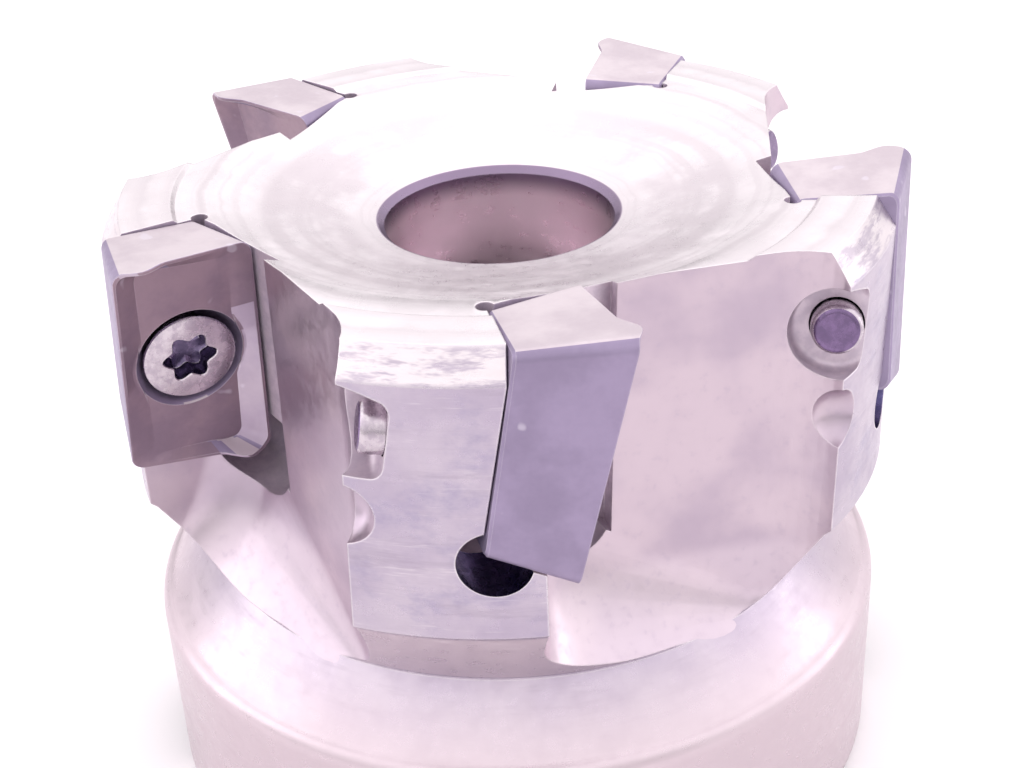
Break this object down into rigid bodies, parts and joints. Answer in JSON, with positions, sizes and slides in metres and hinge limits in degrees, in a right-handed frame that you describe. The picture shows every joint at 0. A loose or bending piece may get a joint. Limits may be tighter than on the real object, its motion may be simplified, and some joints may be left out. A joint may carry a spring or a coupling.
{
  "type": "face mill",
  "caption": "Shell-type indexable face mill: a stepped steel body with chip gullets and pockets, carbide cutting inserts and six-lobe insert screws.",
  "frame": {"origin": "centre of the hub's flat back face, on the tool's axis", "axes": "+Z along the tool's axis towards the cutting end; X along the drive slot across the back face"},
  "size_m": [0.0488, 0.0488, 0.04],
  "materials": {
    "satin_nickel_steel": "satin nickel-plated steel with a worn, bright front edge",
    "coated_carbide": "dark violet-grey coated carbide, fine satin",
    "screw_steel": "bright steel, slightly scratched"
  },
  "bodies": {
    "root": {"body": "satin_nickel_steel", "insert_1": "coated_carbide", "insert_2": "coated_carbide", "insert_3": "coated_carbide", "insert_4": "coated_carbide", "insert_5": "coated_carbide", "insert_screw_1": "screw_steel", "insert_screw_2": "screw_steel", "insert_screw_3": "screw_steel", "insert_screw_4": "screw_steel", "insert_screw_5": "screw_steel"}
  },
  "joints": []
}
